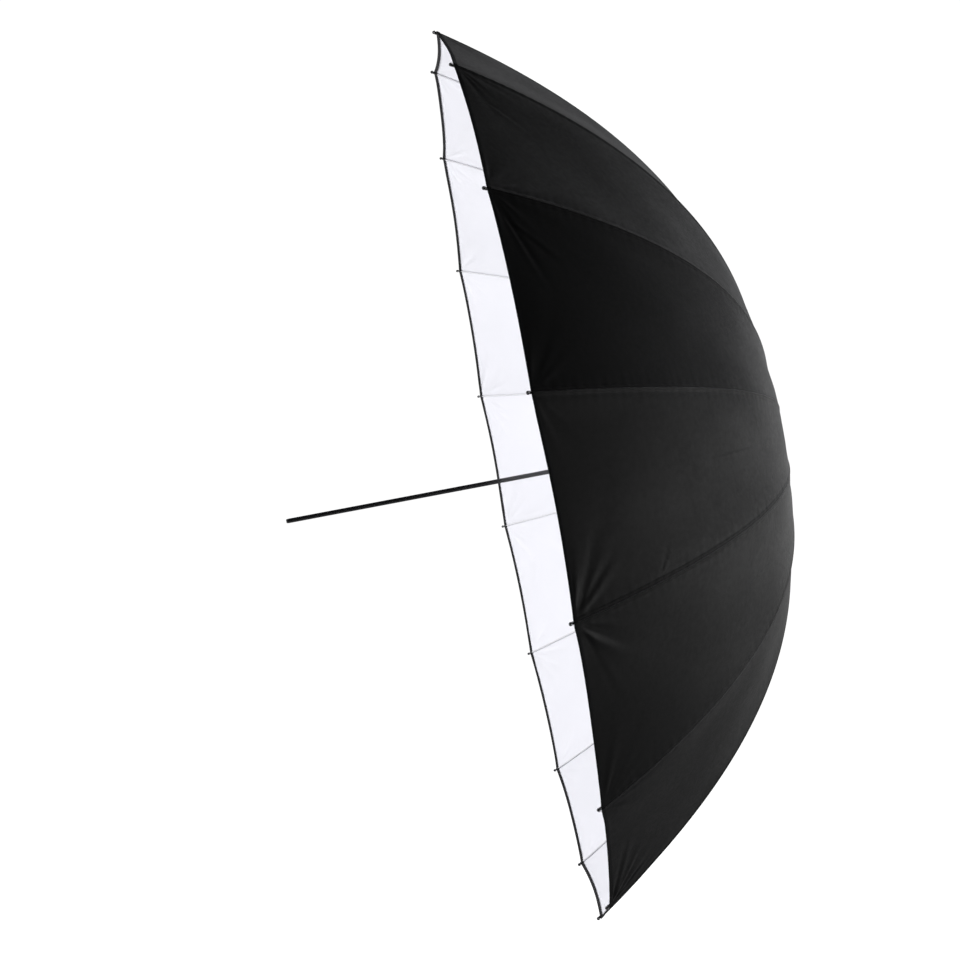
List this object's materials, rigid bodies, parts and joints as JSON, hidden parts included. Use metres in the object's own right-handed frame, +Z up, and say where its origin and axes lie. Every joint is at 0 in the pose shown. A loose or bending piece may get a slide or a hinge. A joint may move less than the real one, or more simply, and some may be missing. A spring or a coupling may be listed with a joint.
{
  "type": "umbrella reflector",
  "caption": "Deep sixteen-rib folding umbrella reflector, black outside and white inside, on a slim shaft with a sliding runner, stretchers and a press catch.",
  "frame": {"origin": "on the shaft's axis, at the point where the shaft is held, 190 mm in front of the rim plane", "axes": "+X along the shaft towards the apex, +Z up; ribs stand half a pitch off +Y"},
  "size_m": [0.8693, 1.4758, 1.4758],
  "materials": {
    "canopy_cloth": "black coated outside, matt white inside",
    "rib": "white glass-fibre rod, black plastic tip and knuckle",
    "bare_steel": "bright",
    "shaft_tube": "gloss black",
    "black_plastic": "satin",
    "washer": "satin",
    "ferrule": "gloss"
  },
  "bodies": {
    "shaft_and_crown": {"shaft": "shaft_tube", "front_plug": "black_plastic", "stop_ring": "bare_steel", "crown_hub": "black_plastic", "crown_wire": "bare_steel", "crown_pin": "bare_steel", "canopy_washer": "washer", "rear_cap": "ferrule", "catch_pin": "bare_steel"},
    "runner": {"runner": "black_plastic", "runner_wire": "bare_steel"},
    "catch": {"catch": "bare_steel"},
    "rib_01": {"rib_01": "rib", "canopy_panel_01": "canopy_cloth"},
    "stretcher_01": {"stretcher_01": "bare_steel"},
    "rib_02": {"rib_02": "rib", "canopy_panel_02": "canopy_cloth"},
    "stretcher_02": {"stretcher_02": "bare_steel"},
    "rib_03": {"rib_03": "rib", "canopy_panel_03": "canopy_cloth"},
    "stretcher_03": {"stretcher_03": "bare_steel"},
    "rib_04": {"rib_04": "rib", "canopy_panel_04": "canopy_cloth"},
    "stretcher_04": {"stretcher_04": "bare_steel"},
    "rib_05": {"rib_05": "rib", "canopy_panel_05": "canopy_cloth"},
    "stretcher_05": {"stretcher_05": "bare_steel"},
    "rib_06": {"rib_06": "rib", "canopy_panel_06": "canopy_cloth"},
    "stretcher_06": {"stretcher_06": "bare_steel"},
    "rib_07": {"rib_07": "rib", "canopy_panel_07": "canopy_cloth"},
    "stretcher_07": {"stretcher_07": "bare_steel"},
    "rib_08": {"rib_08": "rib", "canopy_panel_08": "canopy_cloth"},
    "stretcher_08": {"stretcher_08": "bare_steel"},
    "rib_09": {"rib_09": "rib", "canopy_panel_09": "canopy_cloth"},
    "stretcher_09": {"stretcher_09": "bare_steel"},
    "rib_10": {"rib_10": "rib", "canopy_panel_10": "canopy_cloth"},
    "stretcher_10": {"stretcher_10": "bare_steel"},
    "rib_11": {"rib_11": "rib", "canopy_panel_11": "canopy_cloth"},
    "stretcher_11": {"stretcher_11": "bare_steel"},
    "rib_12": {"rib_12": "rib", "canopy_panel_12": "canopy_cloth"},
    "stretcher_12": {"stretcher_12": "bare_steel"},
    "rib_13": {"rib_13": "rib", "canopy_panel_13": "canopy_cloth"},
    "stretcher_13": {"stretcher_13": "bare_steel"},
    "rib_14": {"rib_14": "rib", "canopy_panel_14": "canopy_cloth"},
    "stretcher_14": {"stretcher_14": "bare_steel"},
    "rib_15": {"rib_15": "rib", "canopy_panel_15": "canopy_cloth"},
    "stretcher_15": {"stretcher_15": "bare_steel"},
    "rib_16": {"rib_16": "rib", "canopy_panel_16": "canopy_cloth"},
    "stretcher_16": {"stretcher_16": "bare_steel"}
  },
  "joints": [
    {"name": "runner_slide", "type": "slide", "parent": "shaft_and_crown", "child": "runner", "axis": [-1, 0, 0], "range_m": [0, 0.23265]},
    {"name": "rib_01_fold", "type": "hinge", "parent": "shaft_and_crown", "child": "rib_01", "pos_m": [0.6235, 0.01569, 0.00312], "axis": [0, -0.1951, 0.9808], "range_deg": [0, 58], "deforming": ["canopy_panel_01"]},
    {"name": "rib_02_fold", "type": "hinge", "parent": "shaft_and_crown", "child": "rib_02", "pos_m": [0.6235, 0.0133, 0.00889], "axis": [0, -0.5556, 0.8315], "range_deg": [0, 58], "deforming": ["canopy_panel_02"]},
    {"name": "rib_03_fold", "type": "hinge", "parent": "shaft_and_crown", "child": "rib_03", "pos_m": [0.6235, 0.00889, 0.0133], "axis": [0, -0.8315, 0.5556], "range_deg": [0, 58], "deforming": ["canopy_panel_03"]},
    {"name": "rib_04_fold", "type": "hinge", "parent": "shaft_and_crown", "child": "rib_04", "pos_m": [0.6235, 0.00312, 0.01569], "axis": [0, -0.9808, 0.1951], "range_deg": [0, 58], "deforming": ["canopy_panel_04"]},
    {"name": "rib_05_fold", "type": "hinge", "parent": "shaft_and_crown", "child": "rib_05", "pos_m": [0.6235, -0.00312, 0.01569], "axis": [0, -0.9808, -0.1951], "range_deg": [0, 58], "deforming": ["canopy_panel_05"]},
    {"name": "rib_06_fold", "type": "hinge", "parent": "shaft_and_crown", "child": "rib_06", "pos_m": [0.6235, -0.00889, 0.0133], "axis": [0, -0.8315, -0.5556], "range_deg": [0, 58], "deforming": ["canopy_panel_06"]},
    {"name": "rib_07_fold", "type": "hinge", "parent": "shaft_and_crown", "child": "rib_07", "pos_m": [0.6235, -0.0133, 0.00889], "axis": [0, -0.5556, -0.8315], "range_deg": [0, 58], "deforming": ["canopy_panel_07"]},
    {"name": "rib_08_fold", "type": "hinge", "parent": "shaft_and_crown", "child": "rib_08", "pos_m": [0.6235, -0.01569, 0.00312], "axis": [0, -0.1951, -0.9808], "range_deg": [0, 58], "deforming": ["canopy_panel_08"]},
    {"name": "rib_09_fold", "type": "hinge", "parent": "shaft_and_crown", "child": "rib_09", "pos_m": [0.6235, -0.01569, -0.00312], "axis": [0, 0.1951, -0.9808], "range_deg": [0, 58], "deforming": ["canopy_panel_09"]},
    {"name": "rib_10_fold", "type": "hinge", "parent": "shaft_and_crown", "child": "rib_10", "pos_m": [0.6235, -0.0133, -0.00889], "axis": [0, 0.5556, -0.8315], "range_deg": [0, 58], "deforming": ["canopy_panel_10"]},
    {"name": "rib_11_fold", "type": "hinge", "parent": "shaft_and_crown", "child": "rib_11", "pos_m": [0.6235, -0.00889, -0.0133], "axis": [0, 0.8315, -0.5556], "range_deg": [0, 58], "deforming": ["canopy_panel_11"]},
    {"name": "rib_12_fold", "type": "hinge", "parent": "shaft_and_crown", "child": "rib_12", "pos_m": [0.6235, -0.00312, -0.01569], "axis": [0, 0.9808, -0.1951], "range_deg": [0, 58], "deforming": ["canopy_panel_12"]},
    {"name": "rib_13_fold", "type": "hinge", "parent": "shaft_and_crown", "child": "rib_13", "pos_m": [0.6235, 0.00312, -0.01569], "axis": [0, 0.9808, 0.1951], "range_deg": [0, 58], "deforming": ["canopy_panel_13"]},
    {"name": "rib_14_fold", "type": "hinge", "parent": "shaft_and_crown", "child": "rib_14", "pos_m": [0.6235, 0.00889, -0.0133], "axis": [0, 0.8315, 0.5556], "range_deg": [0, 58], "deforming": ["canopy_panel_14"]},
    {"name": "rib_15_fold", "type": "hinge", "parent": "shaft_and_crown", "child": "rib_15", "pos_m": [0.6235, 0.0133, -0.00889], "axis": [0, 0.5556, 0.8315], "range_deg": [0, 58], "deforming": ["canopy_panel_15"]},
    {"name": "rib_16_fold", "type": "hinge", "parent": "shaft_and_crown", "child": "rib_16", "pos_m": [0.6235, 0.01569, -0.00312], "axis": [0, 0.1951, 0.9808], "range_deg": [0, 58], "deforming": ["canopy_panel_16"]},
    {"name": "stretcher_01_fold", "type": "hinge", "parent": "runner", "child": "stretcher_01", "pos_m": [0.38, 0.01569, 0.00312], "axis": [0, 0.1951, -0.9808], "range_deg": [0, 25.44]},
    {"name": "stretcher_02_fold", "type": "hinge", "parent": "runner", "child": "stretcher_02", "pos_m": [0.38, 0.0133, 0.00889], "axis": [0, 0.5556, -0.8315], "range_deg": [0, 25.44]},
    {"name": "stretcher_03_fold", "type": "hinge", "parent": "runner", "child": "stretcher_03", "pos_m": [0.38, 0.00889, 0.0133], "axis": [0, 0.8315, -0.5556], "range_deg": [0, 25.44]},
    {"name": "stretcher_04_fold", "type": "hinge", "parent": "runner", "child": "stretcher_04", "pos_m": [0.38, 0.00312, 0.01569], "axis": [0, 0.9808, -0.1951], "range_deg": [0, 25.44]},
    {"name": "stretcher_05_fold", "type": "hinge", "parent": "runner", "child": "stretcher_05", "pos_m": [0.38, -0.00312, 0.01569], "axis": [0, 0.9808, 0.1951], "range_deg": [0, 25.44]},
    {"name": "stretcher_06_fold", "type": "hinge", "parent": "runner", "child": "stretcher_06", "pos_m": [0.38, -0.00889, 0.0133], "axis": [0, 0.8315, 0.5556], "range_deg": [0, 25.44]},
    {"name": "stretcher_07_fold", "type": "hinge", "parent": "runner", "child": "stretcher_07", "pos_m": [0.38, -0.0133, 0.00889], "axis": [0, 0.5556, 0.8315], "range_deg": [0, 25.44]},
    {"name": "stretcher_08_fold", "type": "hinge", "parent": "runner", "child": "stretcher_08", "pos_m": [0.38, -0.01569, 0.00312], "axis": [0, 0.1951, 0.9808], "range_deg": [0, 25.44]},
    {"name": "stretcher_09_fold", "type": "hinge", "parent": "runner", "child": "stretcher_09", "pos_m": [0.38, -0.01569, -0.00312], "axis": [0, -0.1951, 0.9808], "range_deg": [0, 25.44]},
    {"name": "stretcher_10_fold", "type": "hinge", "parent": "runner", "child": "stretcher_10", "pos_m": [0.38, -0.0133, -0.00889], "axis": [0, -0.5556, 0.8315], "range_deg": [0, 25.44]},
    {"name": "stretcher_11_fold", "type": "hinge", "parent": "runner", "child": "stretcher_11", "pos_m": [0.38, -0.00889, -0.0133], "axis": [0, -0.8315, 0.5556], "range_deg": [0, 25.44]},
    {"name": "stretcher_12_fold", "type": "hinge", "parent": "runner", "child": "stretcher_12", "pos_m": [0.38, -0.00312, -0.01569], "axis": [0, -0.9808, 0.1951], "range_deg": [0, 25.44]},
    {"name": "stretcher_13_fold", "type": "hinge", "parent": "runner", "child": "stretcher_13", "pos_m": [0.38, 0.00312, -0.01569], "axis": [0, -0.9808, -0.1951], "range_deg": [0, 25.44]},
    {"name": "stretcher_14_fold", "type": "hinge", "parent": "runner", "child": "stretcher_14", "pos_m": [0.38, 0.00889, -0.0133], "axis": [0, -0.8315, -0.5556], "range_deg": [0, 25.44]},
    {"name": "stretcher_15_fold", "type": "hinge", "parent": "runner", "child": "stretcher_15", "pos_m": [0.38, 0.0133, -0.00889], "axis": [0, -0.5556, -0.8315], "range_deg": [0, 25.44]},
    {"name": "stretcher_16_fold", "type": "hinge", "parent": "runner", "child": "stretcher_16", "pos_m": [0.38, 0.01569, -0.00312], "axis": [0, -0.1951, -0.9808], "range_deg": [0, 25.44]},
    {"name": "catch_press", "type": "hinge", "parent": "shaft_and_crown", "child": "catch", "pos_m": [0.29, 0, 0.0012], "axis": [0, 1, 0], "range_deg": [0, 4.4], "stiffness_Nm_per_rad": 0.05}
  ],
  "couplings": [
    {"joint": "rib_01_fold", "follows": "runner_slide", "rad_per_m": 4.3512},
    {"joint": "rib_02_fold", "follows": "runner_slide", "rad_per_m": 4.3512},
    {"joint": "rib_03_fold", "follows": "runner_slide", "rad_per_m": 4.3512},
    {"joint": "rib_04_fold", "follows": "runner_slide", "rad_per_m": 4.3512},
    {"joint": "rib_05_fold", "follows": "runner_slide", "rad_per_m": 4.3512},
    {"joint": "rib_06_fold", "follows": "runner_slide", "rad_per_m": 4.3512},
    {"joint": "rib_07_fold", "follows": "runner_slide", "rad_per_m": 4.3512},
    {"joint": "rib_08_fold", "follows": "runner_slide", "rad_per_m": 4.3512},
    {"joint": "rib_09_fold", "follows": "runner_slide", "rad_per_m": 4.3512},
    {"joint": "rib_10_fold", "follows": "runner_slide", "rad_per_m": 4.3512},
    {"joint": "rib_11_fold", "follows": "runner_slide", "rad_per_m": 4.3512},
    {"joint": "rib_12_fold", "follows": "runner_slide", "rad_per_m": 4.3512},
    {"joint": "rib_13_fold", "follows": "runner_slide", "rad_per_m": 4.3512},
    {"joint": "rib_14_fold", "follows": "runner_slide", "rad_per_m": 4.3512},
    {"joint": "rib_15_fold", "follows": "runner_slide", "rad_per_m": 4.3512},
    {"joint": "rib_16_fold", "follows": "runner_slide", "rad_per_m": 4.3512},
    {"joint": "stretcher_01_fold", "follows": "runner_slide", "rad_per_m": 1.9083},
    {"joint": "stretcher_02_fold", "follows": "runner_slide", "rad_per_m": 1.9083},
    {"joint": "stretcher_03_fold", "follows": "runner_slide", "rad_per_m": 1.9083},
    {"joint": "stretcher_04_fold", "follows": "runner_slide", "rad_per_m": 1.9083},
    {"joint": "stretcher_05_fold", "follows": "runner_slide", "rad_per_m": 1.9083},
    {"joint": "stretcher_06_fold", "follows": "runner_slide", "rad_per_m": 1.9083},
    {"joint": "stretcher_07_fold", "follows": "runner_slide", "rad_per_m": 1.9083},
    {"joint": "stretcher_08_fold", "follows": "runner_slide", "rad_per_m": 1.9083},
    {"joint": "stretcher_09_fold", "follows": "runner_slide", "rad_per_m": 1.9083},
    {"joint": "stretcher_10_fold", "follows": "runner_slide", "rad_per_m": 1.9083},
    {"joint": "stretcher_11_fold", "follows": "runner_slide", "rad_per_m": 1.9083},
    {"joint": "stretcher_12_fold", "follows": "runner_slide", "rad_per_m": 1.9083},
    {"joint": "stretcher_13_fold", "follows": "runner_slide", "rad_per_m": 1.9083},
    {"joint": "stretcher_14_fold", "follows": "runner_slide", "rad_per_m": 1.9083},
    {"joint": "stretcher_15_fold", "follows": "runner_slide", "rad_per_m": 1.9083},
    {"joint": "stretcher_16_fold", "follows": "runner_slide", "rad_per_m": 1.9083}
  ]
}
